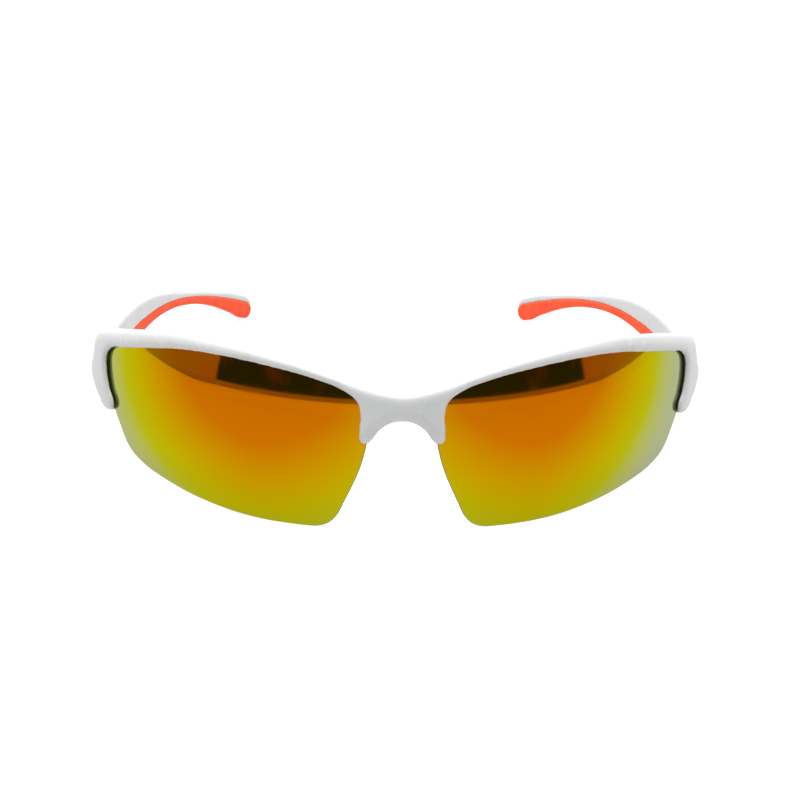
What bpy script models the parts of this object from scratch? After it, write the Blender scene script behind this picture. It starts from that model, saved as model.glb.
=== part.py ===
"""Wraparound sport sunglasses: half-rim frame, two mirrored lenses and folding temples.

Metres, +Z up, standing open on a level surface at z = 0. The front faces -Y, and the
wearer's left side is at +X. The origin is the centre of the footprint. Outlines are in
millimetres and are drawn flat, then bent: the front onto the wrap sphere, where u is the
arc across, v the height and w the height above the lens face, and the temples along
their curve in plan, where the flat axes are y, z and the offset outwards.
"""

import math

import bmesh
import bpy
from mathutils import Matrix, Vector

MM = 0.001

# Wrap sphere, which holds the outer face of both lenses
WRAP_RADIUS = 82.0
WRAP_LEVEL = 12.0
FRONT_Y = -76.26

# Front frame and lenses
FRAME_FRONT = 1.5
FRAME_BACK = -3.6
FRAME_ROUND = 0.9
LENS_THICK = 2.0
GROOVE_GAP = 0.3

# Temples: their curve in plan, from HALF_WIDTH at the hinges and CONVERGE closer at the tips
TEMPLE_WIDTH = 3.4
TEMPLE_ROUND = 1.2
CURVE_START = 42.0
CURVE_LENGTH = 110.0
HALF_WIDTH = 69.0
CONVERGE = 27.8
GRIP_GAP = 0.3
GRIP_PROUD = 0.45
GRIP_DEPTH = 1.8
GRIP_ROUND = 0.4

# Steps at which a flat shape is sliced, so that it bends
FRONT_SLICE = 5.7
TEMPLE_SLICE = 6.0
END_SLICE = 3.0

# Blocks at the ends of the front, which the temples butt against
END_FRONT = 1.6
END_BACK = 3.2
END_ROUND = 1.3
BUTT_GAP = 0.3

# Barrel hinges: the pivot of the left one, and its pieces
PIVOT_X = 64.2
PIVOT_Y = 47.0
PIVOT_Z = 24.9
BARREL_RADIUS = 1.9
BARREL_HOLE = 0.95
KNUCKLE_HEIGHT = 1.9
WASHER_THICK = 0.4
WASHER_INSET = 0.2
STACK_GAP = 0.25
RUNNING_GAP = 0.25
HEAD_RADIUS = 1.15
HEAD_HEIGHT = 0.6
SHANK_RADIUS = 0.7
SHANK_START = 0.2
SLOT_HALF = 0.2
SLOT_DEPTH = 0.25
LEAF_THICK = 1.0
LEAF_LENGTH = 5.6
LEAF_OUTER = PIVOT_X + BARREL_RADIUS - 0.08
LEAF_INNER = LEAF_OUTER - LEAF_THICK
TAB_OVERLAP = 0.8
TAB_INSET = 0.04
RECESS_GAP = 0.3
RECESS_SPARE = 0.6
RECESS_HALF = 4.2

# Rivets, which run outwards through the leaves into blind bores
RIVET_RADIUS = 0.5
RIVET_HEAD_RADIUS = 1.0
RIVET_DOME_RADIUS = 0.7
RIVET_HEAD_HEIGHT = 0.4
RIVET_LENGTH = 2.9
RIVET_SPREAD = 2.4
RIVET_INSET = 1.5
BORE_GAP = 0.3
BORE_LENGTH = 3.9

# How far a cutter runs past what it cuts
OVERRUN = 1.0
THROUGH = 20.0

# Nose pads, with the wire arm that carries each
PAD_SIZE = (5.2, 9.5, 19.0)
PAD_CENTRE = (13.2, 8.8, 13.2)
PAD_TURN = (4, -20, -18)
ARM_RADIUS = 0.9
ARM_GAP = 0.3
ARM_ROUTE = [(7.0, 4.7, 26.4), (8.6, 7.4, 24.6), (11.4, 8.8, 19.0), PAD_CENTRE]

ALONG_X = Matrix.Rotation(math.radians(90), 4, "Y")

WHITE = (0.80, 0.81, 0.84, 1.0)
ORANGE = (1.0, 0.10, 0.02, 1.0)
AMBER = (0.60, 0.27, 0.0, 1.0)
SMOKE = (0.06, 0.06, 0.06, 1.0)
STEEL = (0.55, 0.56, 0.58, 1.0)
NYLON = (0.85, 0.84, 0.80, 1.0)

# Half of the front's outline, from the top centre round the lug to the centre of the arch
BROW = [
    (0, 32.1), (6, 33.0), (10.5, 34.2), (16.5, 36.0), (25.5, 38.0), (36, 39.3), (46, 39.6), (56, 39.2),
    (66, 37.7), (76, 35.5),
]
LUG = [
    (83.5, 33.6), (87.4, 32.2), (88.8, 29.6), (89.0, 25.8), (87.9, 22.0), (85.0, 19.2), (82.2, 16.9),
    (80.7, 15.7), (78.9, 15.3), (77.0, 15.7), (76.2, 17.0),
]
LENS_SIDE = [
    (78.4, 21.0), (80.5, 25.4), (81.0, 27.8), (79.5, 29.8), (75.2, 31.1), (64, 33.8), (54, 35.7),
    (42, 36.4), (30, 35.8), (20, 34.3), (13, 32.1),
]
LEG = [
    (10.1, 29.9), (9.4, 27.5), (9.5, 23.4), (9.3, 21.3), (8.0, 20.5), (6.9, 21.3), (5.2, 23.6),
    (2.8, 25.3), (0, 25.8),
]

# Outline of the left lens, with the tongue that sits in the frame's groove
LENS_TOP = [
    (14.5, 34.3), (21, 36.1), (30, 37.3), (42, 38.0), (54, 37.4), (66, 35.5), (76, 33.6), (81.4, 31.6),
    (82.2, 26.5), (80.2, 20.6), (77.5, 16.6),
]
LENS_FREE = [
    (74.4, 12.4), (71.1, 8.2), (66.6, 5.8), (58.7, 3.7), (46, 1.3), (32.4, -0.05), (22.5, -0.15),
    (17.4, 0.5), (15.0, 2.3),
]
LENS_INNER = [(12.7, 6.6), (8.0, 19.4), (7.7, 24.5), (7.9, 28.6), (10.0, 31.8)]

# Side view of the left temple: its upper edge, from the hinge to the tip, and its lower edge back
TEMPLE_BUTT = [(47.3, 30.9), (47.3, 20.8)]
TEMPLE_UPPER = [(60, 30.6), (76, 29.0), (92, 25.7), (110, 20.7), (128, 15.0), (146, 8.5)]
TEMPLE_TIP = [(151.8, 5.3), (152.9, 2.6), (151.2, 0.5), (147.4, 1.3)]
TEMPLE_LOWER = [(138, 6.1), (122, 13.1), (106, 18.4), (90, 21.7), (76, 22.9), (60, 22.8)]

# Side view of the grip: its upper edge, the tip and its lower edge
GRIP_UPPER = [(58, 25.0), (76, 24.7), (90, 23.2), (106, 19.9), (122, 15.2), (138, 9.4), (147, 5.7)]
GRIP_TIP = [(150.9, 3.4), (151.5, 1.4), (149.8, -0.2), (146.2, 0.5)]
GRIP_LOWER = [(138, 5.6), (122, 12.6), (106, 17.9), (90, 21.2), (76, 22.4), (58, 22.6)]

# Side view of the block at the end of the front
END_BUTT = PIVOT_Y - BUTT_GAP / 2
END_SIDE = [(41.8, 31.7), (END_BUTT, 30.9), (END_BUTT, 20.6), (44.2, 21.4), (41.8, 24.5)]


def material(name, colour, roughness, metallic=0.0):
    shade = bpy.data.materials.new(name)
    shade.use_nodes = True
    shader = shade.node_tree.nodes["Principled BSDF"]
    shader.inputs["Base Color"].default_value = colour
    shader.inputs["Roughness"].default_value = roughness
    shader.inputs["Metallic"].default_value = metallic
    return shade


def clear_scene():
    for thing in list(bpy.data.objects):
        bpy.data.objects.remove(thing, do_unlink=True)
    for name in ("sport_sunglasses", "cutters"):
        group = bpy.data.collections.new(name)
        bpy.context.scene.collection.children.link(group)


def add(name, mesh, shade=None):
    """A part in the object's collection or, with no material, a cutter in the other."""
    thing = bpy.data.objects.new(name, mesh)
    group = "sport_sunglasses" if shade else "cutters"
    bpy.data.collections[group].objects.link(thing)
    if shade:
        mesh.materials.clear()
        mesh.materials.append(shade)
        mesh.shade_smooth()
        mesh.set_sharp_from_angle(angle=math.radians(32))
    else:
        thing.hide_render = True
        thing.display_type = "WIRE"
    return thing


def evaluated_mesh(thing):
    """The mesh that an object's modifiers or curve settings make, welded, with the object removed."""
    bpy.context.view_layer.update()
    graph = bpy.context.evaluated_depsgraph_get()
    mesh = bpy.data.meshes.new_from_object(thing.evaluated_get(graph))
    mesh.transform(thing.matrix_world)
    bpy.data.objects.remove(thing, do_unlink=True)
    work = bmesh.new()
    work.from_mesh(mesh)
    bmesh.ops.remove_doubles(work, verts=work.verts, dist=0.00001)
    work.to_mesh(mesh)
    work.free()
    return mesh


def add_outline(curve, stretches, detail, first_corners):
    """One closed spline through the stretches. A stretch's first point is a corner if it is flagged."""
    points = [point for stretch in stretches for point in stretch]
    corners = set()
    start = 0
    for stretch, corner in zip(stretches, first_corners):
        if corner:
            corners.add(start)
        start += len(stretch)
    spline = curve.splines.new("BEZIER")
    spline.bezier_points.add(len(points) - 1)
    spline.use_cyclic_u = True
    curve.resolution_u = detail
    for index, (u, v) in enumerate(points):
        knot = spline.bezier_points[index]
        kind = "VECTOR" if index in corners else "AUTO"
        knot.co = (u * MM, v * MM, 0)
        knot.handle_left_type = kind
        knot.handle_right_type = kind


def flat_plate(name, stretches, low, high, rounding=0.0, grow=0.0, detail=3, corners=None):
    """A flat plate from depth low to high, in mm, its outline grown outwards by grow."""
    curve = bpy.data.curves.new(name, "CURVE")
    curve.dimensions = "2D"
    curve.fill_mode = "BOTH"
    add_outline(curve, stretches, detail, corners or [False] * len(stretches))
    curve.extrude = ((high - low) / 2 - rounding) * MM
    curve.bevel_depth = rounding * MM
    curve.bevel_resolution = 1
    curve.offset = (grow - rounding) * MM
    thing = bpy.data.objects.new(name, curve)
    bpy.data.collections["cutters"].objects.link(thing)
    thing.location.z = (high + low) / 2 * MM
    return evaluated_mesh(thing)


def boolean(mesh, other, operation):
    """The mesh joined with, or cut by, another. Both are used up."""
    body = add("working_body", mesh)
    tool = add("working_tool", other)
    change = body.modifiers.new("change", "BOOLEAN")
    change.operation = operation
    change.object = tool
    result = evaluated_mesh(body)
    bpy.data.objects.remove(tool, do_unlink=True)
    return result


def bend(mesh, rule, *steps):
    """Slices the mesh at each step, in mm, of its first axes and moves its points by the rule."""
    work = bmesh.new()
    work.from_mesh(mesh)
    bmesh.ops.dissolve_limit(work, angle_limit=math.radians(0.5), verts=work.verts, edges=work.edges)
    for axis, step in enumerate(steps):
        values = [vert.co[axis] / MM for vert in work.verts]
        first = math.floor(min(values) / step) + 1
        last = math.ceil(max(values) / step)
        normal = Vector((axis == 0, axis == 1, 0))
        for count in range(first, last):
            everything = work.verts[:] + work.edges[:] + work.faces[:]
            at = normal * (count * step * MM)
            bmesh.ops.bisect_plane(work, geom=everything, plane_co=at, plane_no=normal, dist=0.000002)
    bmesh.ops.triangulate(work, faces=work.faces)
    for vert in work.verts:
        vert.co = rule(vert.co / MM) * MM
    bmesh.ops.recalc_face_normals(work, faces=work.faces)
    work.to_mesh(mesh)
    work.free()
    return mesh


def wrap(point):
    """A flat point (u, v, w) on the wrap sphere."""
    turn = point.x / WRAP_RADIUS
    lift = (point.y - WRAP_LEVEL) / WRAP_RADIUS
    radius = WRAP_RADIUS + point.z
    level = radius * math.cos(lift)
    back = FRONT_Y + WRAP_RADIUS - level * math.cos(turn)
    return Vector((level * math.sin(turn), back, WRAP_LEVEL + radius * math.sin(lift)))


def temple_plan(distance):
    """The half width of the temples' centre line at a distance behind the lenses, and its slope."""
    t = (distance - CURVE_START) / CURVE_LENGTH
    half_width = HALF_WIDTH - CONVERGE * (0.5 * t + 0.5 * t * t)
    slope = -CONVERGE * (0.5 + t) / CURVE_LENGTH
    return half_width, slope


def follow_temple(point):
    """A flat point (y, z, offset outwards) on the left temple."""
    half_width, slope = temple_plan(point.x)
    outwards = Vector((1, -slope, 0)).normalized()
    return Vector((half_width, FRONT_Y + point.x, point.y)) + outwards * point.z


def mirrored(mesh):
    """The same shape for the wearer's right side."""
    copy = mesh.copy()
    copy.transform(Matrix.Scale(-1, 4, (1, 0, 0)))
    copy.flip_normals()
    return copy


def add_pair(name, mesh, shade, parents=None):
    """The left part and its mirror image, each on its own side's parent if there is one."""
    for side, shape in (("left", mesh), ("right", mirrored(mesh))):
        thing = add(f"{name}_{side}", shape, shade)
        if parents:
            thing.parent = parents[side]
            thing.matrix_parent_inverse = parents[side].matrix_world.inverted()


def placed(thing_mesh, work, location, turn=None):
    place = Matrix.Translation(Vector(location) * MM)
    if turn:
        place = place @ turn
    work.to_mesh(thing_mesh)
    work.free()
    thing_mesh.transform(place)
    return thing_mesh


def block(low, high):
    """A box between two corners, in mm."""
    size = Vector(high) - Vector(low)
    work = bmesh.new()
    bmesh.ops.create_cube(work, size=1, matrix=Matrix.Diagonal((*(size * MM), 1)))
    return placed(bpy.data.meshes.new("block"), work, (Vector(low) + Vector(high)) / 2)


def rod(radius, length, location, turn=None, sides=20, radius_2=None):
    """A round bar, centred on its location. Its axis is Z unless it is turned."""
    work = bmesh.new()
    end = radius if radius_2 is None else radius_2
    bmesh.ops.create_cone(
        work, cap_ends=True, segments=sides, radius1=radius * MM, radius2=end * MM, depth=length * MM
    )
    return placed(bpy.data.meshes.new("rod"), work, location, turn)


def joined(first, *others):
    for other in others:
        first = boolean(first, other, "UNION")
    return first


def cut(first, *cutters):
    for cutter in cutters:
        first = boolean(first, cutter, "DIFFERENCE")
    return first


def behind(distance):
    """World y, in mm, of a distance behind the front of the lenses."""
    return FRONT_Y + distance


def lens_mesh(grow=0.0, depth_grow=0.0):
    """The left lens, flat. With a growth it is the cutter for its groove."""
    stretches = [LENS_TOP, LENS_FREE, LENS_INNER]
    return flat_plate("lens", stretches, -LENS_THICK - depth_grow, depth_grow, grow=grow)


def under_floor():
    """The space under the surface that the left side rests on."""
    return block((0, behind(-5), -5), (90, behind(160), 0))


def nose_arm(radius):
    """The curved arm that comes out of the back of the leg and runs down inside the pad."""
    curve = bpy.data.curves.new("nose_arm", "CURVE")
    curve.dimensions = "3D"
    curve.bevel_depth = radius * MM
    curve.bevel_resolution = 2
    curve.use_fill_caps = True
    curve.resolution_u = 4
    spline = curve.splines.new("BEZIER")
    spline.bezier_points.add(len(ARM_ROUTE) - 1)
    for knot, (x, y, z) in zip(spline.bezier_points, ARM_ROUTE):
        knot.co = (x * MM, behind(y) * MM, z * MM)
        knot.handle_left_type = "AUTO"
        knot.handle_right_type = "AUTO"
    thing = bpy.data.objects.new("nose_arm", curve)
    bpy.data.collections["cutters"].objects.link(thing)
    return evaluated_mesh(thing)


def leaf_recess():
    """The room round the left hinge: its leaves, its barrel and the sweep of the barrel."""
    reach = LEAF_LENGTH + RECESS_SPARE
    inner = PIVOT_X - THROUGH
    outer = PIVOT_X + BARREL_RADIUS + RECESS_GAP
    low = (inner, behind(PIVOT_Y - reach), PIVOT_Z - RECESS_HALF)
    high = (outer, behind(PIVOT_Y + reach), PIVOT_Z + RECESS_HALF)
    return block(low, high)


def rivet_places(side):
    """Centres of the two rivets of a leaf: side -1 is the frame's leaf and 1 the temple's."""
    y = behind(PIVOT_Y + side * (LEAF_LENGTH - RIVET_INSET))
    return [(y, PIVOT_Z + RIVET_SPREAD), (y, PIVOT_Z - RIVET_SPREAD)]


def rivet_bores(side, gap):
    """Blind bores that run outwards from the leaf's inner face, wider than the rivets by a gap."""
    middle = LEAF_INNER - OVERRUN + BORE_LENGTH / 2
    return [rod(RIVET_RADIUS + gap, BORE_LENGTH, (middle, y, z), ALONG_X, 12) for y, z in rivet_places(side)]


def front_frame(shade):
    half = BROW + LUG + LENS_SIDE + LEG
    other_half = [(-u, v) for u, v in reversed(half[1:-1])]
    frame = flat_plate("frame", [half, other_half], FRAME_BACK, FRAME_FRONT, FRAME_ROUND)
    groove = lens_mesh(GROOVE_GAP, GROOVE_GAP)
    frame = cut(frame, mirrored(groove), groove)
    frame = bend(frame, wrap, FRONT_SLICE, FRONT_SLICE)

    corners = [[corner] for corner in END_SIDE]
    square = [True] * len(corners)
    end = flat_plate("end", corners, -END_BACK, END_FRONT, END_ROUND, detail=1, corners=square)
    end = bend(end, follow_temple, END_SLICE)
    for side in ("left", "right"):
        pieces = [end.copy(), nose_arm(ARM_RADIUS)]
        cutters = [leaf_recess()] + rivet_bores(-1, BORE_GAP)
        if side == "right":
            pieces = [mirrored(piece) for piece in pieces]
            cutters = [mirrored(cutter) for cutter in cutters]
        frame = cut(joined(frame, *pieces), *cutters)
    add("front_frame", frame, shade)


def lenses(shade):
    lens = bend(lens_mesh(), wrap, FRONT_SLICE, FRONT_SLICE)
    add_pair("lens", cut(lens, under_floor()), shade)


def nose_pads(shade):
    """A soft teardrop, domed towards the nose, with a blind socket for the frame's arm."""
    work = bmesh.new()
    bmesh.ops.create_cube(work, size=1, matrix=Matrix.Diagonal((*(Vector(PAD_SIZE) * MM), 1)))
    cage = bpy.data.meshes.new("nose_pad")
    work.to_mesh(cage)
    work.free()
    thing = add("nose_pad_cage", cage)
    smooth = thing.modifiers.new("smooth", "SUBSURF")
    smooth.levels = 2
    smooth.render_levels = 2
    thing.location = Vector((PAD_CENTRE[0], behind(PAD_CENTRE[1]), PAD_CENTRE[2])) * MM
    thing.rotation_euler = [math.radians(angle) for angle in PAD_TURN]
    pad = cut(evaluated_mesh(thing), nose_arm(ARM_RADIUS + ARM_GAP))
    add_pair("nose_pad", pad, shade)


def temples(white, orange, pivots):
    half = TEMPLE_WIDTH / 2
    outline = [TEMPLE_BUTT[:1], TEMPLE_UPPER, TEMPLE_TIP, TEMPLE_LOWER, TEMPLE_BUTT[1:]]
    square = [True, False, False, False, True]
    temple = flat_plate("temple", outline, -half, half, TEMPLE_ROUND, corners=square)
    grip_outline = [GRIP_UPPER, GRIP_TIP, GRIP_LOWER]
    inner = -half - GRIP_PROUD
    outer = inner + GRIP_DEPTH
    grip = flat_plate("grip", grip_outline, inner, outer, GRIP_ROUND)
    rebate = flat_plate("rebate", grip_outline, inner - OVERRUN, outer + GRIP_GAP, grow=GRIP_GAP)
    temple = bend(cut(temple, rebate), follow_temple, TEMPLE_SLICE)
    temple = cut(temple, leaf_recess(), *rivet_bores(1, BORE_GAP))
    grip = cut(bend(grip, follow_temple, TEMPLE_SLICE), under_floor())
    add_pair("temple", temple, white, pivots)
    add_pair("temple_grip", grip, orange, pivots)


def hinge_level(index):
    """Height of a knuckle's middle: index 1 is the top knuckle, 0 the temple's and -1 the bottom one."""
    return PIVOT_Z + index * (KNUCKLE_HEIGHT + WASHER_THICK + 2 * STACK_GAP)


def hinge_leaf(side):
    """Side -1 is the frame's leaf, with two knuckles, and 1 the temple's, with one between them."""
    levels = (1, -1) if side < 0 else (0,)
    half_height = hinge_level(1) - PIVOT_Z + KNUCKLE_HEIGHT / 2
    clear = BARREL_RADIUS + STACK_GAP
    ends = sorted((behind(PIVOT_Y + side * clear), behind(PIVOT_Y + side * LEAF_LENGTH)))
    low = (LEAF_INNER, ends[0], PIVOT_Z - half_height)
    high = (LEAF_OUTER, ends[1], PIVOT_Z + half_height)
    leaf = block(low, high)
    for index in levels:
        level = hinge_level(index)
        tab_ends = sorted((behind(PIVOT_Y), behind(PIVOT_Y + side * (clear + TAB_OVERLAP))))
        tab_half = KNUCKLE_HEIGHT / 2 - TAB_INSET
        low = (LEAF_INNER + TAB_INSET, tab_ends[0], level - tab_half)
        high = (LEAF_OUTER - TAB_INSET, tab_ends[1], level + tab_half)
        knuckle = rod(BARREL_RADIUS, KNUCKLE_HEIGHT, (PIVOT_X, behind(PIVOT_Y), level))
        leaf = joined(leaf, block(low, high), knuckle)
    bore = rod(BARREL_HOLE, THROUGH, (PIVOT_X, behind(PIVOT_Y), PIVOT_Z))
    leaf = cut(leaf, bore, *rivet_bores(side, RUNNING_GAP))
    if side < 0:
        seat_depth = HEAD_HEIGHT + RUNNING_GAP
        seat_middle = hinge_level(1) + (KNUCKLE_HEIGHT - seat_depth + OVERRUN) / 2
        seat_place = (PIVOT_X, behind(PIVOT_Y), seat_middle)
        leaf = cut(leaf, rod(HEAD_RADIUS + RUNNING_GAP, seat_depth + OVERRUN, seat_place))
    return leaf


def hinge_screw():
    """A slotted screw whose head lies flush in the top knuckle."""
    y = behind(PIVOT_Y)
    top = hinge_level(1) + KNUCKLE_HEIGHT / 2
    bottom = hinge_level(-1) - KNUCKLE_HEIGHT / 2
    head = rod(HEAD_RADIUS, HEAD_HEIGHT, (PIVOT_X, y, top - HEAD_HEIGHT / 2))
    length = top - SHANK_START - bottom
    shank = rod(SHANK_RADIUS, length, (PIVOT_X, y, bottom + length / 2), sides=16)
    low = (PIVOT_X - HEAD_RADIUS - OVERRUN, y - SLOT_HALF, top - SLOT_DEPTH)
    high = (PIVOT_X + HEAD_RADIUS + OVERRUN, y + SLOT_HALF, top + OVERRUN)
    return cut(joined(head, shank), block(low, high))


def washer(level):
    place = (PIVOT_X, behind(PIVOT_Y), level)
    ring = rod(BARREL_RADIUS - WASHER_INSET, WASHER_THICK, place)
    return cut(ring, rod(BARREL_HOLE, WASHER_THICK + OVERRUN, place))


def rivet(y, z):
    """A domed head over the leaf's inner face, and a shank that ends in the moulding's bore."""
    head_middle = LEAF_INNER - BORE_GAP - RIVET_HEAD_HEIGHT / 2
    head = rod(RIVET_DOME_RADIUS, RIVET_HEAD_HEIGHT, (head_middle, y, z), ALONG_X, 14, RIVET_HEAD_RADIUS)
    shank = rod(RIVET_RADIUS, RIVET_LENGTH, (head_middle + RIVET_LENGTH / 2, y, z), ALONG_X, 12)
    return joined(head, shank)


def hinges(steel, nylon, pivots):
    add_pair("frame_hinge_leaf", hinge_leaf(-1), steel)
    add_pair("temple_hinge_leaf", hinge_leaf(1), steel, pivots)
    add_pair("hinge_screw", hinge_screw(), steel)
    spacing = (KNUCKLE_HEIGHT + WASHER_THICK + 2 * STACK_GAP) / 2
    add_pair("upper_hinge_washer", washer(PIVOT_Z + spacing), nylon)
    add_pair("lower_hinge_washer", washer(PIVOT_Z - spacing), nylon)
    for side, owner, parents in ((-1, "frame", None), (1, "temple", pivots)):
        for (y, z), place in zip(rivet_places(side), ("upper", "lower")):
            add_pair(f"{owner}_{place}_leaf_rivet", rivet(y, z), steel, parents)


def add_pivots():
    """One empty on each hinge axis, which carries the pieces that fold."""
    pivots = {}
    for side, sign in (("left", 1), ("right", -1)):
        pivot = bpy.data.objects.new("temple_pivot_" + side, None)
        pivot.location = Vector((sign * PIVOT_X, behind(PIVOT_Y), PIVOT_Z)) * MM
        bpy.data.collections["sport_sunglasses"].objects.link(pivot)
        pivots[side] = pivot
    bpy.context.view_layer.update()
    return pivots


def main():
    clear_scene()
    pivots = add_pivots()
    white = material("white_gloss", WHITE, 0.18)
    orange = material("orange_rubber", ORANGE, 0.6)
    amber = material("amber_mirror", AMBER, 0.08, 0.9)
    smoke = material("smoke_rubber", SMOKE, 0.55)
    steel = material("hinge_steel", STEEL, 0.3, 1.0)
    nylon = material("nylon", NYLON, 0.5)
    front_frame(white)
    lenses(amber)
    nose_pads(smoke)
    temples(white, orange, pivots)
    hinges(steel, nylon, pivots)


main()
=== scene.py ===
"""Looks of the wraparound sport sunglasses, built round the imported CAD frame.

Metres, +Z up, in the CAD's own frame. Outlines are in millimetres and are drawn flat,
then bent: the front onto the wrap sphere, where u is the arc across, v the height and w
the height above the lens face, and the temples along their curve in plan, where the flat
axes are y, z and the offset outwards.
"""

import math

import bmesh
import bpy
import numpy as np
from mathutils import Matrix, Vector


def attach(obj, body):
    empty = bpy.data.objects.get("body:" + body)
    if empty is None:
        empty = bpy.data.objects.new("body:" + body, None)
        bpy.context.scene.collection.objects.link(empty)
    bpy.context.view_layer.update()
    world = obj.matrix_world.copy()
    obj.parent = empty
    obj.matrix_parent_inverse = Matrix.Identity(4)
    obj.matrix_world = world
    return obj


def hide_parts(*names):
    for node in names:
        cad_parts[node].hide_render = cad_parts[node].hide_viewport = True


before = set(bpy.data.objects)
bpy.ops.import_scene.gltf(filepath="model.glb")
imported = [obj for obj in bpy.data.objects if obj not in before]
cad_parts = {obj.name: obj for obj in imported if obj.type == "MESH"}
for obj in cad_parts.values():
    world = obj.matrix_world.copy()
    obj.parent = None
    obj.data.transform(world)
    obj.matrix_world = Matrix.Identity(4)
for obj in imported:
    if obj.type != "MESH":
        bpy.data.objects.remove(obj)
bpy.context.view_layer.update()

MM = 0.001

# Wrap sphere, which holds the outer face of both lenses
WRAP_RADIUS = 82.0
WRAP_LEVEL = 12.0
FRONT_Y = -76.26

# Front frame and lenses
FRAME_FRONT = 1.5
FRAME_BACK = -3.6
FRAME_ROUND = 1.1
BROW_DROP = 0.9
BROW_REACH = 3.2
ARCH_DROP = 1.5
ARCH_REACH = 2.6
CROWN_DEPTH = 1.0
LENS_THICK = 2.0
LENS_HEIGHT = 38.0
LENS_ROUND = 0.25
GROOVE_GAP = 0.3

# Temples and grips
TEMPLE_WIDTH = 3.4
TEMPLE_ROUND = 1.3
CURVE_START = 42.0
CURVE_LENGTH = 110.0
HALF_WIDTH = 69.0
CONVERGE = 27.8
GRIP_TUCK = 0.08
GRIP_PROUD = 0.45
GRIP_DEPTH = 1.8
GRIP_ROUND = 0.6
OVERRUN = 3.3

# Hinges
PIVOT_X = 64.2
PIVOT_Y = 47.0
PIVOT_Z = 24.9
BARREL_RADIUS = 1.9
RECESS_HALF = 4.2
RECESS_SPARE = 0.6
RECESS_INNER = 50.0
LEAF_GAP = 0.3
LEAF_LENGTH = 5.6
RIVET_RADIUS = 0.5
RIVET_SPREAD = 2.4
RIVET_INSET = 1.5
RIVET_GAP = 0.2
RIVET_BORE = 3.9
BUTT_GAP = 0.3
END_FRONT = 1.6
END_BACK = 3.2
END_ROUND = 1.3

# Nose pads and their arms. Places are x, the distance behind the front of the lenses, and z
PAD_SIZE = (5.2, 9.5, 19.0)
PAD_CENTRE = (13.2, 8.8, 13.2)
PAD_TURN = (4, -20, -18)
ARM_RADIUS = 0.9
ARM_ROUTE = [(7.0, 4.7, 26.4), (8.6, 7.4, 24.6), (11.4, 8.8, 19.0), PAD_CENTRE]

# Two corners of the space under the left side, given in the same way
UNDER_FLOOR = [(0, -5, -5), (90, 160, 0)]

# Fineness of the meshes: lengths in mm, and the steps of a round edge
SLICE = 1.2
VOXEL = 0.26
SURFACE_NEAR = 0.02
BEVEL_STEPS = 4

# Distances at which points are welded, or count as on a slicing plane, in the mesh's own unit
WELD_NEAR = 0.00001
PLANE_NEAR = 0.000002

# Angles up to which faces are one flat face, and from which an edge is sharp, on moulded and on
# stamped pieces
FLAT_ANGLE = math.radians(0.5)
MOULDED_CREASE = math.radians(50)
STAMPED_CREASE = math.radians(32)

ALONG_X = Matrix.Rotation(math.radians(90), 4, "Y")

# Half of the front's outline, from the top centre round the lug to the centre of the arch
BROW = [
    (0, 32.1), (6, 33.0), (10.5, 34.2), (16.5, 36.0), (25.5, 38.0), (36, 39.3), (46, 39.6), (56, 39.2),
    (66, 37.7), (76, 35.5),
]
LUG = [
    (83.5, 33.6), (87.5, 32.2), (88.9, 29.8), (88.7, 25.8), (87.7, 22.4), (85.2, 19.2), (82.2, 16.9),
    (80.7, 15.7), (78.9, 15.3), (77.0, 15.7), (76.2, 17.0),
]
LENS_SIDE = [
    (78.8, 21.0), (80.9, 25.4), (81.3, 27.8), (79.7, 29.8), (75.2, 31.1), (64, 33.8), (54, 35.7),
    (42, 36.4), (30, 35.8), (20, 34.3), (13, 32.1),
]
LEG = [
    (10.1, 29.9), (9.4, 27.5), (9.5, 23.4), (9.3, 21.3), (8.0, 20.5), (6.9, 21.3), (5.2, 23.6),
    (2.8, 25.3), (0, 25.8),
]
ARCH = LEG[4:]

# Outline of the left lens, with the tongue that sits in the frame's groove
LENS_TOP = [
    (14.5, 34.3), (21, 36.1), (30, 37.3), (42, 38.0), (54, 37.4), (66, 35.5), (76, 33.6), (81.4, 31.6),
    (82.2, 26.5), (80.2, 20.6), (77.5, 16.6),
]
LENS_FREE = [
    (74.4, 12.4), (71.1, 8.2), (66.6, 5.8), (58.7, 3.7), (46, 1.3), (32.4, -0.05), (22.5, -0.15),
    (17.4, 0.5), (15.0, 2.3),
]
LENS_INNER = [(12.7, 6.6), (8.0, 19.4), (7.7, 24.5), (7.9, 28.6), (10.0, 31.8)]

# Side view of the left temple: its upper edge, from the hinge to the tip, and its lower edge back
TEMPLE_BUTT = [(47.3, 30.9), (47.3, 20.8)]
TEMPLE_UPPER = [(60, 31.1), (76, 29.6), (92, 26.1), (110, 20.7), (128, 15.0), (146, 8.5)]
TEMPLE_TIP = [(151.8, 5.3), (152.9, 2.6), (151.2, 0.5), (147.4, 1.3)]
TEMPLE_LOWER = [(138, 6.1), (122, 13.1), (106, 18.4), (90, 21.7), (76, 22.9), (60, 22.8)]

# Side view of the grip: its upper edge, the tip and its lower edge
GRIP_UPPER = [
    (57.2, 24.4), (60.5, 25.2), (76, 24.8), (90, 23.2), (106, 19.9), (122, 15.2), (138, 9.4), (147, 5.7),
]
GRIP_TIP = [(151.0, 3.6), (151.7, 1.8), (150.0, 0.2), (146.2, 0.9)]
GRIP_LOWER = [(138, 5.2), (122, 12.6), (106, 17.9), (90, 21.2), (76, 22.4), (60.5, 22.6), (57.2, 23.3)]

# Side view of the block at the end of the front
END_BUTT = PIVOT_Y - BUTT_GAP / 2
END_SIDE = [(41.8, 31.7), (END_BUTT, 30.9), (END_BUTT, 20.6), (44.2, 21.4), (41.8, 24.5)]

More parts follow.
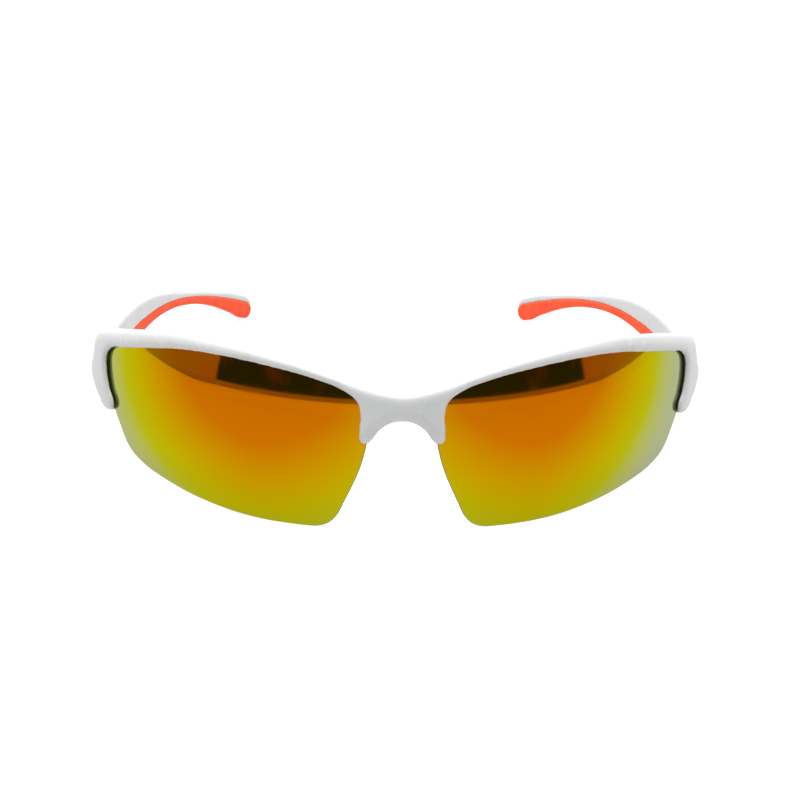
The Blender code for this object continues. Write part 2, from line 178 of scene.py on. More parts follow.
# Camera, as a distance, a direction and a focal length on a sensor
CAMERA_TARGET = (-0.7, FRONT_Y, 31.37)
CAMERA_DISTANCE = 400.0
CAMERA_AZIMUTH = -2.2
CAMERA_ELEVATION = 21.0
CAMERA_ROLL = 1.132
CAMERA_LENS = 83.72
CAMERA_SENSOR = 36.0

# Light: how bright the lit floor and the pale surroundings are, and the soft light above
PALE = 1.25
OVERHEAD = 4.8
BEHIND = 1.2
DIM_FRONT = 0.06
DIM_SIDE = 0.2
FLOOR_GLOW = 0.9
FLOOR_SHADE = 0.165
FLOOR_MOTTLE = 0.01
SOFTBOX_WATTS = 6.0
SOFTBOX_SIZE = 0.8
SOFTBOX_PLACE = (0.0, 0.35, 0.9)
FLOOR_SIZE = 6.0

# The surroundings are heights on, and turns round, a sphere of radius 1. A pair is where a change
# starts and where it ends. Overhead it is bright; in front and on the left it is dim
OVERHEAD_RISE = (0.72, 0.92)
DIM_FRONT_FADE = (-0.35, 0.25)
DIM_SIDE_FADE = (0.1, 0.8)

# The room low in front: its lower edge, top and sides, its dark middle (core) and its amber ends
# (wings), each patched with two colours where a noise is low and high, and the rim over its lower
# edge, a lower and an upper strip
ROOM_TILT = 0.095
ROOM_DROP = 0.037
ROOM_EDGE = (-0.002, 0.002)
ROOM_TOP = (0.24, 0.42)
ROOM_HALF = math.radians(104)
ROOM_BLUR = math.radians(6)
CORE_HALF = math.radians(64.5)
CORE_TURN = math.radians(2)
CORE_BLUR = math.radians(1.5)
CORE_PATCHES = (0.5, 0.64)
CORE_COLOURS = ((0.035, 0.09, 0.08), (0.11, 0.11, 0.07))
WING_PATCHES = (0.4, 0.6)
WING_COLOURS = ((0.62, 0.46, 0.36), (0.58, 0.54, 0.42))
PATCH_SCALE = 5.0
PATCH_DETAIL = 3.0
RIM_MIDDLE = (0.004, 0.007)
RIM_TOP = (0.024, 0.03)
RIM_COLOURS = ((0.30, 0.24, 0.16), (0.50, 0.48, 0.36))

# The amber band under the room's lower edge, on the wearer's right, as a share of the pale light
BAND_RISE = (-0.05, -0.01)
BAND_TURN = (math.radians(-60), math.radians(-72))
BAND_SHARE = (0.72, 0.62, 0.5)

# The mirror coating runs from orange to green to silver with the distance from a point, counted in
# spans across and up. It changes faster on the wearer's left (lean) and low on the outside (twist)
MIRROR_CENTRE = (33.0, 46.5)
MIRROR_SPAN = (45.5, 50.0)
MIRROR_LEAN = 0.047
MIRROR_TWIST = 0.26
MIRROR_STOPS = [
    (0.0, (196, 98, 0)),
    (0.55, (200, 110, 0)),
    (0.73, (198, 148, 0)),
    (0.86, (189, 171, 0)),
    (0.96, (180, 180, 20)),
    (1.05, (174, 179, 95)),
    (1.15, (168, 174, 135)),
    (1.3, (158, 166, 158)),
]
MIRROR_DRIFT = 0.05
TINT_DRIFT = 0.1

# Values between which noise mostly lies
NOISE_LOW = 0.3
NOISE_HIGH = 0.7


# ---------------------------------------------------------------- meshes

def evaluated_mesh(thing):
    """The mesh that an object's modifiers or curve settings make, welded, with the object removed."""
    bpy.context.view_layer.update()
    graph = bpy.context.evaluated_depsgraph_get()
    mesh = bpy.data.meshes.new_from_object(thing.evaluated_get(graph))
    mesh.transform(thing.matrix_world)
    bpy.data.objects.remove(thing, do_unlink=True)
    work = bmesh.new()
    work.from_mesh(mesh)
    bmesh.ops.remove_doubles(work, verts=work.verts, dist=WELD_NEAR)
    work.to_mesh(mesh)
    work.free()
    return mesh


def workpiece(name, data):
    thing = bpy.data.objects.new(name, data)
    bpy.context.scene.collection.objects.link(thing)
    return thing


def flat_plate(name, stretches, low, high, rounding=0.0, grow=0.0, detail=8, corners=None):
    """A flat plate from depth low to high, in mm, its outline grown outwards by grow."""
    points = [point for stretch in stretches for point in stretch]
    starts = np.cumsum([0] + [len(stretch) for stretch in stretches])
    square = {start for start, corner in zip(starts, corners or []) if corner}
    curve = bpy.data.curves.new(name, "CURVE")
    curve.dimensions = "2D"
    curve.fill_mode = "BOTH"
    curve.resolution_u = detail
    spline = curve.splines.new("BEZIER")
    spline.bezier_points.add(len(points) - 1)
    spline.use_cyclic_u = True
    for index, (u, v) in enumerate(points):
        knot = spline.bezier_points[index]
        knot.co = (u * MM, v * MM, 0)
        knot.handle_left_type = "VECTOR" if index in square else "AUTO"
        knot.handle_right_type = knot.handle_left_type
    curve.extrude = ((high - low) / 2 - rounding) * MM
    curve.bevel_depth = rounding * MM
    curve.bevel_resolution = BEVEL_STEPS
    curve.offset = (grow - rounding) * MM
    thing = workpiece(name, curve)
    thing.location.z = (high + low) / 2 * MM
    return evaluated_mesh(thing)


def boolean(mesh, other, operation):
    """The mesh cut by, or joined with, another. Both are used up."""
    body = workpiece("working_body", mesh)
    tool = workpiece("working_tool", other)
    change = body.modifiers.new("change", "BOOLEAN")
    change.operation = operation
    change.object = tool
    result = evaluated_mesh(body)
    bpy.data.objects.remove(tool, do_unlink=True)
    return result


def cut(first, *cutters):
    for cutter in cutters:
        first = boolean(first, cutter, "DIFFERENCE")
    return first


def mirrored(mesh):
    """The same shape for the wearer's right side."""
    copy = mesh.copy()
    copy.transform(Matrix.Scale(-1, 4, (1, 0, 0)))
    copy.flip_normals()
    return copy


def read_points(mesh):
    """The mesh's points in mm, one row each."""
    points = np.empty(len(mesh.vertices) * 3)
    mesh.vertices.foreach_get("co", points)
    return points.reshape(-1, 3) / MM


def write_points(mesh, points):
    mesh.vertices.foreach_set("co", (points * MM).ravel())
    mesh.update()


def bend(mesh, rule):
    """Moves the mesh's points by the rule."""
    write_points(mesh, rule(read_points(mesh)))
    return mesh


def sliced(mesh, step):
    """The mesh cut into squares of a step in mm, so that it bends smoothly."""
    work = bmesh.new()
    work.from_mesh(mesh)
    bmesh.ops.dissolve_limit(work, angle_limit=FLAT_ANGLE, verts=work.verts, edges=work.edges)
    for axis in (0, 1):
        values = [vert.co[axis] / MM for vert in work.verts]
        first = math.floor(min(values) / step) + 1
        last = math.ceil(max(values) / step)
        normal = Vector((axis == 0, axis == 1, 0))
        for count in range(first, last):
            everything = work.verts[:] + work.edges[:] + work.faces[:]
            at = normal * (count * step * MM)
            bmesh.ops.bisect_plane(work, geom=everything, plane_co=at, plane_no=normal, dist=PLANE_NEAR)
    bmesh.ops.triangulate(work, faces=work.faces)
    bmesh.ops.recalc_face_normals(work, faces=work.faces)
    work.to_mesh(mesh)
    work.free()
    return mesh


def block(low, high):
    """A box between two corners, in mm."""
    work = bmesh.new()
    size = Vector(high) - Vector(low)
    place = Matrix.Translation((Vector(low) + Vector(high)) / 2 * MM)
    bmesh.ops.create_cube(work, size=1, matrix=place @ Matrix.Diagonal((*(size * MM), 1)))
    mesh = bpy.data.meshes.new("block")
    work.to_mesh(mesh)
    work.free()
    return mesh


def rod(radius, length, centre, sides=24):
    """A round bar along X, centred on a point in mm."""
    work = bmesh.new()
    place = Matrix.Translation(Vector(centre) * MM) @ ALONG_X
    size = {"radius1": radius * MM, "radius2": radius * MM, "depth": length * MM}
    bmesh.ops.create_cone(work, cap_ends=True, segments=sides, matrix=place, **size)
    mesh = bpy.data.meshes.new("rod")
    work.to_mesh(mesh)
    work.free()
    return mesh


def together(*meshes):
    """One mesh of several closed ones, which may overlap."""
    work = bmesh.new()
    for mesh in meshes:
        work.from_mesh(mesh)
    group = bpy.data.meshes.new("together")
    work.to_mesh(group)
    work.free()
    return group


def moulded(mesh, passes):
    """The mesh with an even skin, whose joins and edges run into each other as in a moulding."""
    mesh.transform(Matrix.Scale(1 / MM, 4))
    thing = workpiece("moulding", mesh)
    skin = thing.modifiers.new("skin", "REMESH")
    skin.mode = "VOXEL"
    skin.voxel_size = VOXEL
    smooth = thing.modifiers.new("smooth", "SMOOTH")
    smooth.factor = 0.5
    smooth.iterations = passes
    skinned = evaluated_mesh(thing)
    skinned.transform(Matrix.Scale(MM, 4))
    return skinned


def behind(distance):
    """World y, in mm, of a distance behind the front of the lenses."""
    return FRONT_Y + distance


# ---------------------------------------------------------------- bending rules

def wrap(points):
    """Flat points (u, v, w) on the wrap sphere."""
    turn = points[:, 0] / WRAP_RADIUS
    lift = (points[:, 1] - WRAP_LEVEL) / WRAP_RADIUS
    radius = WRAP_RADIUS + points[:, 2]
    level = radius * np.cos(lift)
    back = FRONT_Y + WRAP_RADIUS - level * np.cos(turn)
    return np.stack([level * np.sin(turn), back, WRAP_LEVEL + radius * np.sin(lift)], axis=1)


def unwrap(points):
    """The flat points (u, v, w) of world points, the reverse of wrap."""
    back = FRONT_Y + WRAP_RADIUS - points[:, 1]
    rise = points[:, 2] - WRAP_LEVEL
    radius = np.sqrt(points[:, 0] ** 2 + back**2 + rise**2)
    across = WRAP_RADIUS * np.arctan2(points[:, 0], back)
    up = WRAP_LEVEL + WRAP_RADIUS * np.arcsin(rise / radius)
    return np.stack([across, up, radius - WRAP_RADIUS], axis=1)


def distance_to(points, line):
    """The distance from each flat point, mirrored to u >= 0, to a line through a few points."""
    knots = np.array(line, float)
    at = np.stack([np.abs(points[:, 0]), points[:, 1]], axis=1)
    nearest = np.full(len(at), np.inf)
    for start, end in zip(knots[:-1], knots[1:]):
        along = end - start
        share = np.clip(((at - start) @ along) / (along @ along), 0, 1)
        gap = np.linalg.norm(at - start - share[:, None] * along, axis=1)
        nearest = np.minimum(nearest, gap)
    return nearest


def crowned(points):
    """The front's points with the brow rolled back towards its top and a chamfer round the arch."""
    points = points.copy()
    frontness = np.clip((points[:, 2] + CROWN_DEPTH) / (FRAME_FRONT + CROWN_DEPTH), 0, 1)
    brow = 1 - np.clip(distance_to(points, BROW + LUG[:4]) / BROW_REACH, 0, 1)
    arch = 1 - np.clip(distance_to(points, ARCH) / ARCH_REACH, 0, 1)
    points[:, 2] -= frontness * (BROW_DROP * brow**2 + ARCH_DROP * arch)
    return points


def wrap_crowned(points):
    return wrap(crowned(points))


def follow_temple(points):
    """Flat points (y, z, offset outwards) on the left temple."""
    t = (points[:, 0] - CURVE_START) / CURVE_LENGTH
    half_width = HALF_WIDTH - CONVERGE * (0.5 * t + 0.5 * t * t)
    slope = -CONVERGE * (0.5 + t) / CURVE_LENGTH
    length = np.sqrt(1 + slope * slope)
    x = half_width + points[:, 2] / length
    y = FRONT_Y + points[:, 0] - points[:, 2] * slope / length
    return np.stack([x, y, points[:, 1]], axis=1)


# ---------------------------------------------------------------- shapes

def lens_plate(grow=0.0, rounding=0.0):
    stretches = [LENS_TOP, LENS_FREE, LENS_INNER]
    return flat_plate("lens", stretches, -LENS_THICK - grow, grow, rounding, grow)


def nose_arm():
    """The curved arm that comes out of the back of the leg and runs down inside the pad."""
    curve = bpy.data.curves.new("nose_arm", "CURVE")
    curve.dimensions = "3D"
    curve.bevel_depth = ARM_RADIUS * MM
    curve.bevel_resolution = BEVEL_STEPS
    curve.use_fill_caps = True
    spline = curve.splines.new("BEZIER")
    spline.bezier_points.add(len(ARM_ROUTE) - 1)
    for knot, (x, y, z) in zip(spline.bezier_points, ARM_ROUTE):
        knot.co = (x * MM, behind(y) * MM, z * MM)
        knot.handle_left_type = "AUTO"
        knot.handle_right_type = "AUTO"
    return evaluated_mesh(workpiece("nose_arm", curve))


def under_floor():
    """The space under the surface that the left side rests on."""
    return block(*[(x, behind(y), z) for x, y, z in UNDER_FLOOR])


def leaf_recess():
    """The room round the left hinge, for its leaves and its barrel."""
    reach = LEAF_LENGTH + RECESS_SPARE
    low = (RECESS_INNER, behind(PIVOT_Y - reach), PIVOT_Z - RECESS_HALF)
    high = (PIVOT_X + BARREL_RADIUS + LEAF_GAP, behind(PIVOT_Y + reach), PIVOT_Z + RECESS_HALF)
    return block(low, high)


def rivet_bores(side):
    """The upper and the lower bore through a leaf, in front of the pivot (-1) or behind it (1)."""
    y = behind(PIVOT_Y + side * (LEAF_LENGTH - RIVET_INSET))
    middle = PIVOT_X + BARREL_RADIUS
    places = [(middle, y, PIVOT_Z + rise) for rise in (RIVET_SPREAD, -RIVET_SPREAD)]
    return [rod(RIVET_RADIUS + RIVET_GAP, RIVET_BORE, place, 16) for place in places]


def front_mesh():
    """The whole front, moulded as one flat piece and then bent."""
    half = BROW + LUG + LENS_SIDE + LEG
    other_half = [(-u, v) for u, v in reversed(half[1:-1])]
    plate = flat_plate("frame", [half, other_half], FRAME_BACK, FRAME_FRONT, FRAME_ROUND)
    groove = lens_plate(GROOVE_GAP)
    plate = cut(plate, mirrored(groove), groove)
    corners = [[corner] for corner in END_SIDE]
    square = [True] * len(corners)
    end = flat_plate("end", corners, -END_BACK, END_FRONT, END_ROUND, detail=1, corners=square)
    end = bend(bend(sliced(end, SLICE), follow_temple), unwrap)
    arm = bend(nose_arm(), unwrap)
    plate = together(plate, end, mirrored(end), arm, mirrored(arm))
    front = bend(moulded(plate, passes=12), wrap_crowned)
    recess = leaf_recess()
    bores = together(*rivet_bores(-1))
    return cut(front, together(recess, mirrored(recess)), together(bores, mirrored(bores)))


def lens_mesh():
    lens = bend(sliced(lens_plate(rounding=LENS_ROUND), SLICE), wrap)
    return cut(lens, under_floor())


def set_sphere_normals(mesh):
    """Exact normals on the lens's front and back, and their own material on the back and the edge."""
    centre = np.array([0, FRONT_Y + WRAP_RADIUS, WRAP_LEVEL])
    out = read_points(mesh) - centre
    radius = np.linalg.norm(out, axis=1)
    normals = np.zeros_like(out)
    front = radius > WRAP_RADIUS - SURFACE_NEAR
    back = radius < WRAP_RADIUS - LENS_THICK + SURFACE_NEAR
    normals[front] = out[front] / radius[front, None]
    normals[back] = -out[back] / radius[back, None]
    for polygon in mesh.polygons:
        polygon.material_index = 0 if all(front[index] for index in polygon.vertices) else 1
    mesh.normals_split_custom_set_from_vertices([tuple(normal) for normal in normals])


def nose_pad_mesh():
    """A soft teardrop, domed towards the nose."""
    work = bmesh.new()
    bmesh.ops.create_cube(work, size=1, matrix=Matrix.Diagonal((*(Vector(PAD_SIZE) * MM), 1)))
    cage = bpy.data.meshes.new("nose_pad")
    work.to_mesh(cage)
    work.free()
    thing = workpiece("nose_pad_cage", cage)
    smooth = thing.modifiers.new("smooth", "SUBSURF")
    smooth.levels = 4
    thing.location = Vector((PAD_CENTRE[0], behind(PAD_CENTRE[1]), PAD_CENTRE[2])) * MM
    thing.rotation_euler = [math.radians(turn) for turn in PAD_TURN]
    return evaluated_mesh(thing)


def temple_and_grip():
    half = TEMPLE_WIDTH / 2
    outline = [TEMPLE_BUTT[:1], TEMPLE_UPPER, TEMPLE_TIP, TEMPLE_LOWER, TEMPLE_BUTT[1:]]
    square = [True, False, False, False, True]
    temple = flat_plate("temple", outline, -half, half, TEMPLE_ROUND, corners=square)
    grip_outline = [GRIP_UPPER, GRIP_TIP, GRIP_LOWER]
    inner = -half - GRIP_PROUD
    outer = inner + GRIP_DEPTH
    grip = flat_plate("grip", grip_outline, inner, outer, GRIP_ROUND)
    rebate = flat_plate("rebate", grip_outline, -half - OVERRUN, outer - GRIP_TUCK, grow=-GRIP_TUCK)
    temple = bend(moulded(cut(temple, rebate), passes=10), follow_temple)
    temple = cut(temple, leaf_recess(), together(*rivet_bores(1)))
    grip = bend(moulded(grip, passes=6), follow_temple)
    return temple, cut(grip, under_floor())


# ---------------------------------------------------------------- materials

def linear(rgb):
    """A colour given as 0 to 255 on screen, as linear light."""
    shares = [value / 255 for value in rgb]
    return tuple(s / 12.92 if s <= 0.04045 else ((s + 0.055) / 1.055) ** 2.4 for s in shares)


class Shade:
    """A material's node tree, with short calls for the nodes used here."""

    def __init__(self, name, **sockets):
        self.material = bpy.data.materials.new(name)
        self.material.use_nodes = True
        self.tree = self.material.node_tree
        self.shader = self.tree.nodes["Principled BSDF"]
        for socket, value in sockets.items():
            self.shader.inputs[socket.replace("_", " ")].default_value = value
        self.place = self.tree.nodes.new("ShaderNodeTexCoord").outputs["Object"]

    def link(self, source, target):
        self.tree.links.new(source, target)

    def set(self, socket, source):
        self.link(source, self.shader.inputs[socket])

    def math(self, operation, *values):
        node = self.tree.nodes.new("ShaderNodeMath")
        node.operation = operation
        for slot, value in zip(node.inputs, values):
            if isinstance(value, (int, float)):
                slot.default_value = value
            else:
                self.link(value, slot)
        return node.outputs[0]

    def noise(self, scale, detail=2.0, place=None):
        node = self.tree.nodes.new("ShaderNodeTexNoise")
        node.inputs["Scale"].default_value = scale
        node.inputs["Detail"].default_value = detail
        self.link(place or self.place, node.inputs["Vector"])
        return node.outputs["Fac"]

    def stretched(self, scale):
        node = self.tree.nodes.new("ShaderNodeMapping")
        node.inputs["Scale"].default_value = scale
        self.link(self.place, node.inputs["Vector"])
        return node.outputs["Vector"]

    def between(self, fac, low, high):
        node = self.tree.nodes.new("ShaderNodeMapRange")
        node.inputs["From Min"].default_value = NOISE_LOW
        node.inputs["From Max"].default_value = NOISE_HIGH
        node.inputs["To Min"].default_value = low
        node.inputs["To Max"].default_value = high
        self.link(fac, node.inputs["Value"])
        return node.outputs["Result"]

    def ramp(self, fac, stops):
        node = self.tree.nodes.new("ShaderNodeValToRGB")
        stops = [(place, (*colour[:3], 1.0)) for place, colour in stops]
        elements = node.color_ramp.elements
        elements[0].position, elements[0].color = stops[0]
        elements[1].position, elements[1].color = stops[-1]
        for place, colour in stops[1:-1]:
            elements.new(place).color = colour
        self.link(fac, node.inputs["Fac"])
        return node.outputs["Color"]

    def tones(self, noise, low, high):
        return self.ramp(noise, [(NOISE_LOW, low), (NOISE_HIGH, high)])

    def bump(self, height, depth, under=None):
        """A bump of a depth in metres, over another if given."""
        node = self.tree.nodes.new("ShaderNodeBump")
        node.inputs["Strength"].default_value = 1.0
        node.inputs["Distance"].default_value = depth
        self.link(height, node.inputs["Height"])
        if under is not None:
            self.link(under, node.inputs["Normal"])
        return node.outputs["Normal"]


def white_gloss():
    """Moulded white plastic: a faint flow pattern and a slight waviness under a thin gloss."""
    shade = Shade("white_gloss_plastic", IOR=1.49, Coat_Weight=0.2, Coat_Roughness=0.22)
    flow = shade.noise(55, 3)
    shade.set("Base Color", shade.tones(flow, (0.515, 0.517, 0.522), (0.545, 0.547, 0.552)))
    shade.set("Roughness", shade.between(shade.noise(160, 3), 0.2, 0.3))
    shade.set("Normal", shade.bump(shade.noise(700, 2), 0.000002))
    return shade.material


def mirror_coating():
    """Mirror coating on the outside of a lens, coloured by its place on the wrap sphere."""
    shade = Shade("lens_mirror_coating", Metallic=1.0, Specular_Tint=(1.0, 1.0, 0.5, 1.0))
    split = shade.tree.nodes.new("ShaderNodeSeparateXYZ")
    shade.link(shade.place, split.inputs[0])
    x, y, z = split.outputs
    back = shade.math("SUBTRACT", (FRONT_Y + WRAP_RADIUS) * MM, y)
    turn = shade.math("ARCTAN2", x, back)
    turn = shade.math("MULTIPLY_ADD", turn, MIRROR_LEAN, shade.math("ABSOLUTE", turn))
    rise = shade.math("SUBTRACT", z, WRAP_LEVEL * MM)
    lift = shade.math("ARCSINE", shade.math("DIVIDE", rise, WRAP_RADIUS * MM))
    across, up = MIRROR_CENTRE
    span_u, span_v = MIRROR_SPAN
    side = shade.math("MULTIPLY_ADD", turn, WRAP_RADIUS / span_u, -across / span_u)
    height = shade.math("MULTIPLY_ADD", lift, WRAP_RADIUS / span_v, (WRAP_LEVEL - up) / span_v)
    squares = shade.math("ADD", shade.math("MULTIPLY", side, side), shade.math("MULTIPLY", height, height))
    outer = shade.math("MULTIPLY", shade.math("MAXIMUM", side, 0.0), height)
    away = shade.math("SQRT", shade.math("MULTIPLY_ADD", outer, -MIRROR_TWIST, squares))
    drift = shade.math("MULTIPLY_ADD", shade.noise(24, 2), MIRROR_DRIFT, -MIRROR_DRIFT / 2)
    last = MIRROR_STOPS[-1][0]
    place = shade.math("DIVIDE", shade.math("ADD", away, drift), last)
    stops = [(at / last, [share / PALE for share in linear(rgb)]) for at, rgb in MIRROR_STOPS]
    shade.set("Base Color", shade.ramp(place, stops))
    shade.set("Roughness", shade.between(shade.noise(120, 3), 0.03, 0.07))
    return shade.material


def lens_tint():
    """Amber-brown polycarbonate, seen on the back and the edge of a lens."""
    shade = Shade("lens_amber_tint", IOR=1.58, Coat_Weight=0.6, Coat_Roughness=0.03)
    split = shade.tree.nodes.new("ShaderNodeSeparateXYZ")
    shade.link(shade.place, split.inputs[0])
    tall = shade.math("MULTIPLY", split.outputs[2], 1 / (LENS_HEIGHT * MM))
    drift = shade.math("MULTIPLY_ADD", shade.noise(30, 2), TINT_DRIFT, -TINT_DRIFT / 2)
    level = shade.math("ADD", tall, drift)
    shade.set("Base Color", shade.ramp(level, [(0.0, (0.10, 0.065, 0.022)), (1.0, (0.055, 0.03, 0.012))]))
    shade.set("Roughness", shade.between(shade.noise(140, 3), 0.08, 0.16))
    return shade.material


def orange_rubber():
    """Soft-touch orange rubber, matte, with a fine grain."""
    shade = Shade("orange_grip_rubber", Specular_IOR_Level=0.18)
    worn = shade.noise(70, 4)
    shade.set("Base Color", shade.ramp(worn, [(0.25, (0.88, 0.06, 0.006)), (0.75, (0.95, 0.076, 0.01))]))
    shade.set("Roughness", shade.between(shade.noise(300, 3), 0.5, 0.66))
    grain = shade.bump(shade.noise(1500, 2), 0.00003)
    shade.set("Normal", shade.bump(shade.noise(6000, 2), 0.000008, under=grain))
    return shade.material


def smoke_rubber():
    """Dark soft rubber of the nose pads."""
    shade = Shade("smoke_pad_rubber", Sheen_Weight=0.1)
    mottle = shade.noise(90, 3)
    shade.set("Base Color", shade.tones(mottle, (0.045, 0.045, 0.046), (0.075, 0.074, 0.072)))
    shade.set("Roughness", shade.between(shade.noise(260, 3), 0.42, 0.58))
    grain = shade.bump(shade.noise(1300, 2), 0.00003)
    shade.set("Normal", shade.bump(shade.noise(5200, 2), 0.000008, under=grain))
    return shade.material


def satin_steel():
    """Stamped steel of the hinges, with fine marks along its length."""
    shade = Shade("satin_hinge_steel", Metallic=1.0)
    marks = shade.noise(700, 3, shade.stretched((6.0, 0.6, 6.0)))
    shade.set("Base Color", shade.tones(marks, (0.50, 0.51, 0.53), (0.64, 0.645, 0.66)))
    shade.set("Roughness", shade.between(marks, 0.24, 0.4))
    shade.set("Normal", shade.bump(marks, 0.000008))
    return shade.material


def natural_nylon():
    """Undyed nylon of the washers."""
    shade = Shade("natural_washer_nylon", Subsurface_Weight=0.1)
    mottle = shade.noise(200, 2)
    shade.set("Base Color", shade.tones(mottle, (0.80, 0.79, 0.74), (0.88, 0.87, 0.83)))
    shade.set("Roughness", shade.between(shade.noise(500, 2), 0.4, 0.55))
    shade.set("Normal", shade.bump(shade.noise(2500, 2), 0.000008))
    return shade.material


def floor_white():
    """A light table: white, and lit a little from below."""
    shade = Shade("pale_floor", Roughness=0.9, Specular_IOR_Level=0.0, Emission_Strength=FLOOR_GLOW)
    shade.shader.inputs["Emission Color"].default_value = (1, 1, 1, 1)
    low = (FLOOR_SHADE - FLOOR_MOTTLE,) * 3
    high = (FLOOR_SHADE + FLOOR_MOTTLE,) * 3
    shade.set("Base Color", shade.tones(shade.noise(3, 2), low, high))
    return shade.material


# ---------------------------------------------------------------- pieces

def add_piece(name, mesh, slot, body, replaces, *materials):
    mesh.materials.clear()
    for material in materials:
        mesh.materials.append(material)
    piece = workpiece(name, mesh)
    mesh.shade_smooth()
    mesh.set_sharp_from_angle(angle=MOULDED_CREASE)
    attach(piece, body)
    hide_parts(*replaces)
    return piece


def build_front():
    front = front_mesh()
    add_piece("moulded_front", front, "frame_white", "front", ["front_frame"], white_gloss())


def build_lenses():
    lens = lens_mesh()
    coating = mirror_coating()
    tint = lens_tint()
    for side, mesh in (("left", lens), ("right", mirrored(lens))):
        name = f"mirror_lens_{side}"
        piece = add_piece(name, mesh, "lens_mirror", "front", [f"lens_{side}"], coating, tint)
        set_sphere_normals(piece.data)


def build_nose_pads():
    pad = nose_pad_mesh()
    rubber = smoke_rubber()
    for side, mesh in (("left", pad), ("right", mirrored(pad))):
        piece = add_piece(f"soft_nose_pad_{side}", mesh, "soft_pad", "front", [f"nose_pad_{side}"], rubber)


def build_temples():
    temple, grip = temple_and_grip()
    white = white_gloss()
    orange = orange_rubber()
    for side, flip in (("left", False), ("right", True)):
        body = f"{side}_temple"
        arm = mirrored(temple) if flip else temple
        rubber = mirrored(grip) if flip else grip
        add_piece(f"moulded_temple_{side}", arm, "frame_white", body, [f"temple_{side}"], white)
        add_piece(f"rubber_grip_{side}", rubber, "grip_orange", body, [f"temple_grip_{side}"], orange)


def finish_hinges():
    """The hinges keep their CAD shapes and get their own metal and nylon."""
    steel = satin_steel()
    nylon = natural_nylon()
    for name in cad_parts:
        thing = bpy.data.objects[name]
        if "washer" in name:
            finish = nylon
        elif "leaf" in name or "screw" in name:
            finish = steel
        else:
            continue
        thing.data.materials.clear()
        thing.data.materials.append(finish)
        thing.data.shade_smooth()
        thing.data.set_sharp_from_angle(angle=STAMPED_CREASE)


# ---------------------------------------------------------------- stage

def add_floor():
    work = bmesh.new()
    bmesh.ops.create_grid(work, x_segments=4, y_segments=4, size=FLOOR_SIZE / 2)
    mesh = bpy.data.meshes.new("floor")
    work.to_mesh(mesh)
    work.free()
    mesh.materials.append(floor_white())
    floor = workpiece("floor", mesh)


def add_softbox():
    light = bpy.data.lights.new("softbox", "AREA")
    light.shape = "SQUARE"
    light.size = SOFTBOX_SIZE
    light.energy = SOFTBOX_WATTS
    lamp = workpiece("softbox", light)
    lamp.location = SOFTBOX_PLACE
    lamp.rotation_euler = (-Vector(SOFTBOX_PLACE)).to_track_quat("-Z", "Y").to_euler()


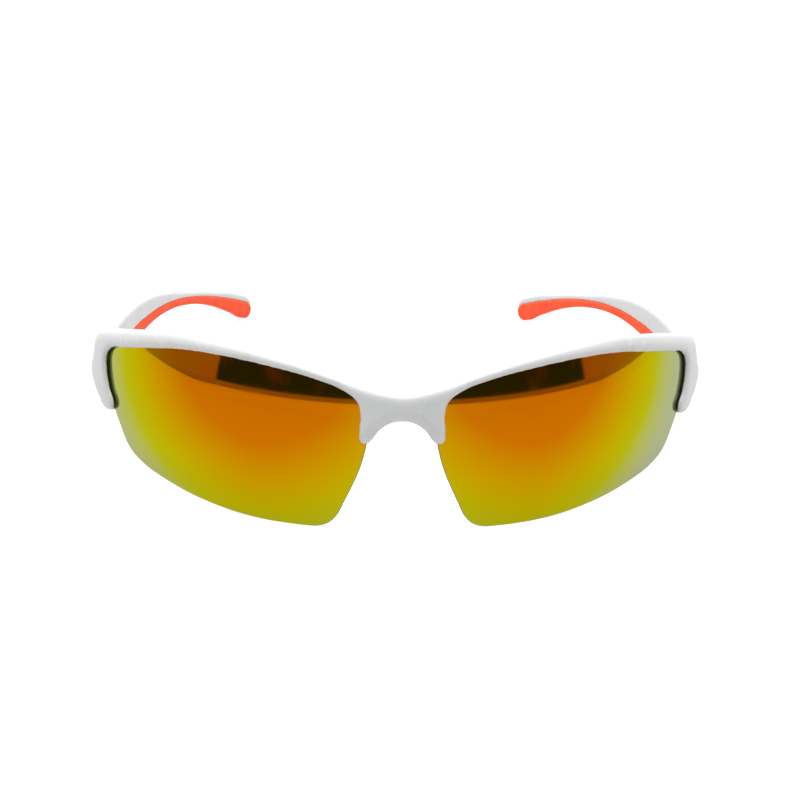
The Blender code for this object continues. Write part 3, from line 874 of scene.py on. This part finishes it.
def add_world():
    """Pale surroundings with a darker room in front, low over the floor's edge."""
    world = bpy.data.worlds.new("studio")
    bpy.context.scene.world = world
    world.use_nodes = True
    tree = world.node_tree
    background = tree.nodes["Background"]

    def math_node(operation, *values):
        node = tree.nodes.new("ShaderNodeMath")
        node.operation = operation
        for slot, value in zip(node.inputs, values):
            if isinstance(value, (int, float)):
                slot.default_value = value
            else:
                tree.links.new(value, slot)
        return node.outputs[0]

    def step(value, low, high):
        node = tree.nodes.new("ShaderNodeMapRange")
        node.interpolation_type = "SMOOTHSTEP"
        node.inputs["From Min"].default_value = low
        node.inputs["From Max"].default_value = high
        tree.links.new(value, node.inputs["Value"])
        return node.outputs["Result"]

    def mix(fac, first, second):
        node = tree.nodes.new("ShaderNodeMix")
        node.data_type = "RGBA"
        tree.links.new(fac, node.inputs["Factor"])
        for slot, value in ((node.inputs[6], first), (node.inputs[7], second)):
            if isinstance(value, tuple):
                slot.default_value = (*value, 1.0)
            else:
                tree.links.new(value, slot)
        return node.outputs[2]

    place = tree.nodes.new("ShaderNodeTexCoord").outputs["Generated"]
    split = tree.nodes.new("ShaderNodeSeparateXYZ")
    tree.links.new(place, split.inputs[0])
    x, y, z = split.outputs
    front = math_node("MULTIPLY", y, -1.0)
    azimuth = math_node("ARCTAN2", x, front)
    edge = math_node("MULTIPLY_ADD", front, -ROOM_TILT, ROOM_DROP)
    over = math_node("ADD", z, edge)

    noise = tree.nodes.new("ShaderNodeTexNoise")
    noise.inputs["Scale"].default_value = PATCH_SCALE
    noise.inputs["Detail"].default_value = PATCH_DETAIL
    tree.links.new(place, noise.inputs["Vector"])
    patches = noise.outputs["Fac"]
    core = mix(step(patches, *CORE_PATCHES), *CORE_COLOURS)
    wings = mix(step(patches, *WING_PATCHES), *WING_COLOURS)
    sideways = math_node("ABSOLUTE", math_node("ADD", azimuth, -CORE_TURN))
    room = mix(step(sideways, CORE_HALF, CORE_HALF + CORE_BLUR), core, wings)
    rim = mix(step(over, *RIM_MIDDLE), *RIM_COLOURS)
    room = mix(step(over, *RIM_TOP), rim, room)

    pale = (PALE, PALE, PALE)
    above = mix(step(x, *DIM_SIDE_FADE), (BEHIND,) * 3, (DIM_SIDE,) * 3)
    above = mix(step(front, *DIM_FRONT_FADE), above, (DIM_FRONT,) * 3)
    above = mix(step(z, *OVERHEAD_RISE), above, (OVERHEAD,) * 3)
    outer_side = step(azimuth, *BAND_TURN)
    band = math_node("MULTIPLY", step(over, *BAND_RISE), outer_side)
    near = mix(band, pale, tuple(share * PALE for share in BAND_SHARE))
    low_part = mix(step(over, *ROOM_EDGE), near, room)
    low_part = mix(step(sideways, ROOM_HALF, ROOM_HALF + ROOM_BLUR), low_part, pale)
    light = mix(step(z, *ROOM_TOP), low_part, above)
    seen = tree.nodes.new("ShaderNodeLightPath").outputs["Is Camera Ray"]
    tree.links.new(mix(seen, light, pale), background.inputs["Color"])


def add_camera():
    azimuth = math.radians(CAMERA_AZIMUTH)
    elevation = math.radians(CAMERA_ELEVATION)
    level = math.cos(elevation)
    back = Vector((math.sin(azimuth) * level, -math.cos(azimuth) * level, math.sin(elevation)))
    data = bpy.data.cameras.new("camera")
    data.lens = CAMERA_LENS
    data.sensor_width = CAMERA_SENSOR
    camera = workpiece("camera", data)
    place = Matrix.Translation((Vector(CAMERA_TARGET) + CAMERA_DISTANCE * back) * MM)
    turn = back.to_track_quat("Z", "Y").to_matrix().to_4x4()
    roll = Matrix.Rotation(math.radians(CAMERA_ROLL), 4, "Z")
    camera.matrix_world = place @ turn @ roll
    bpy.context.scene.camera = camera


bpy.context.scene.view_settings.view_transform = "Standard"
add_camera()
add_floor()
add_world()
add_softbox()
build_front()
build_lenses()
build_nose_pads()
build_temples()
finish_hinges()

bpy.context.view_layer.update()
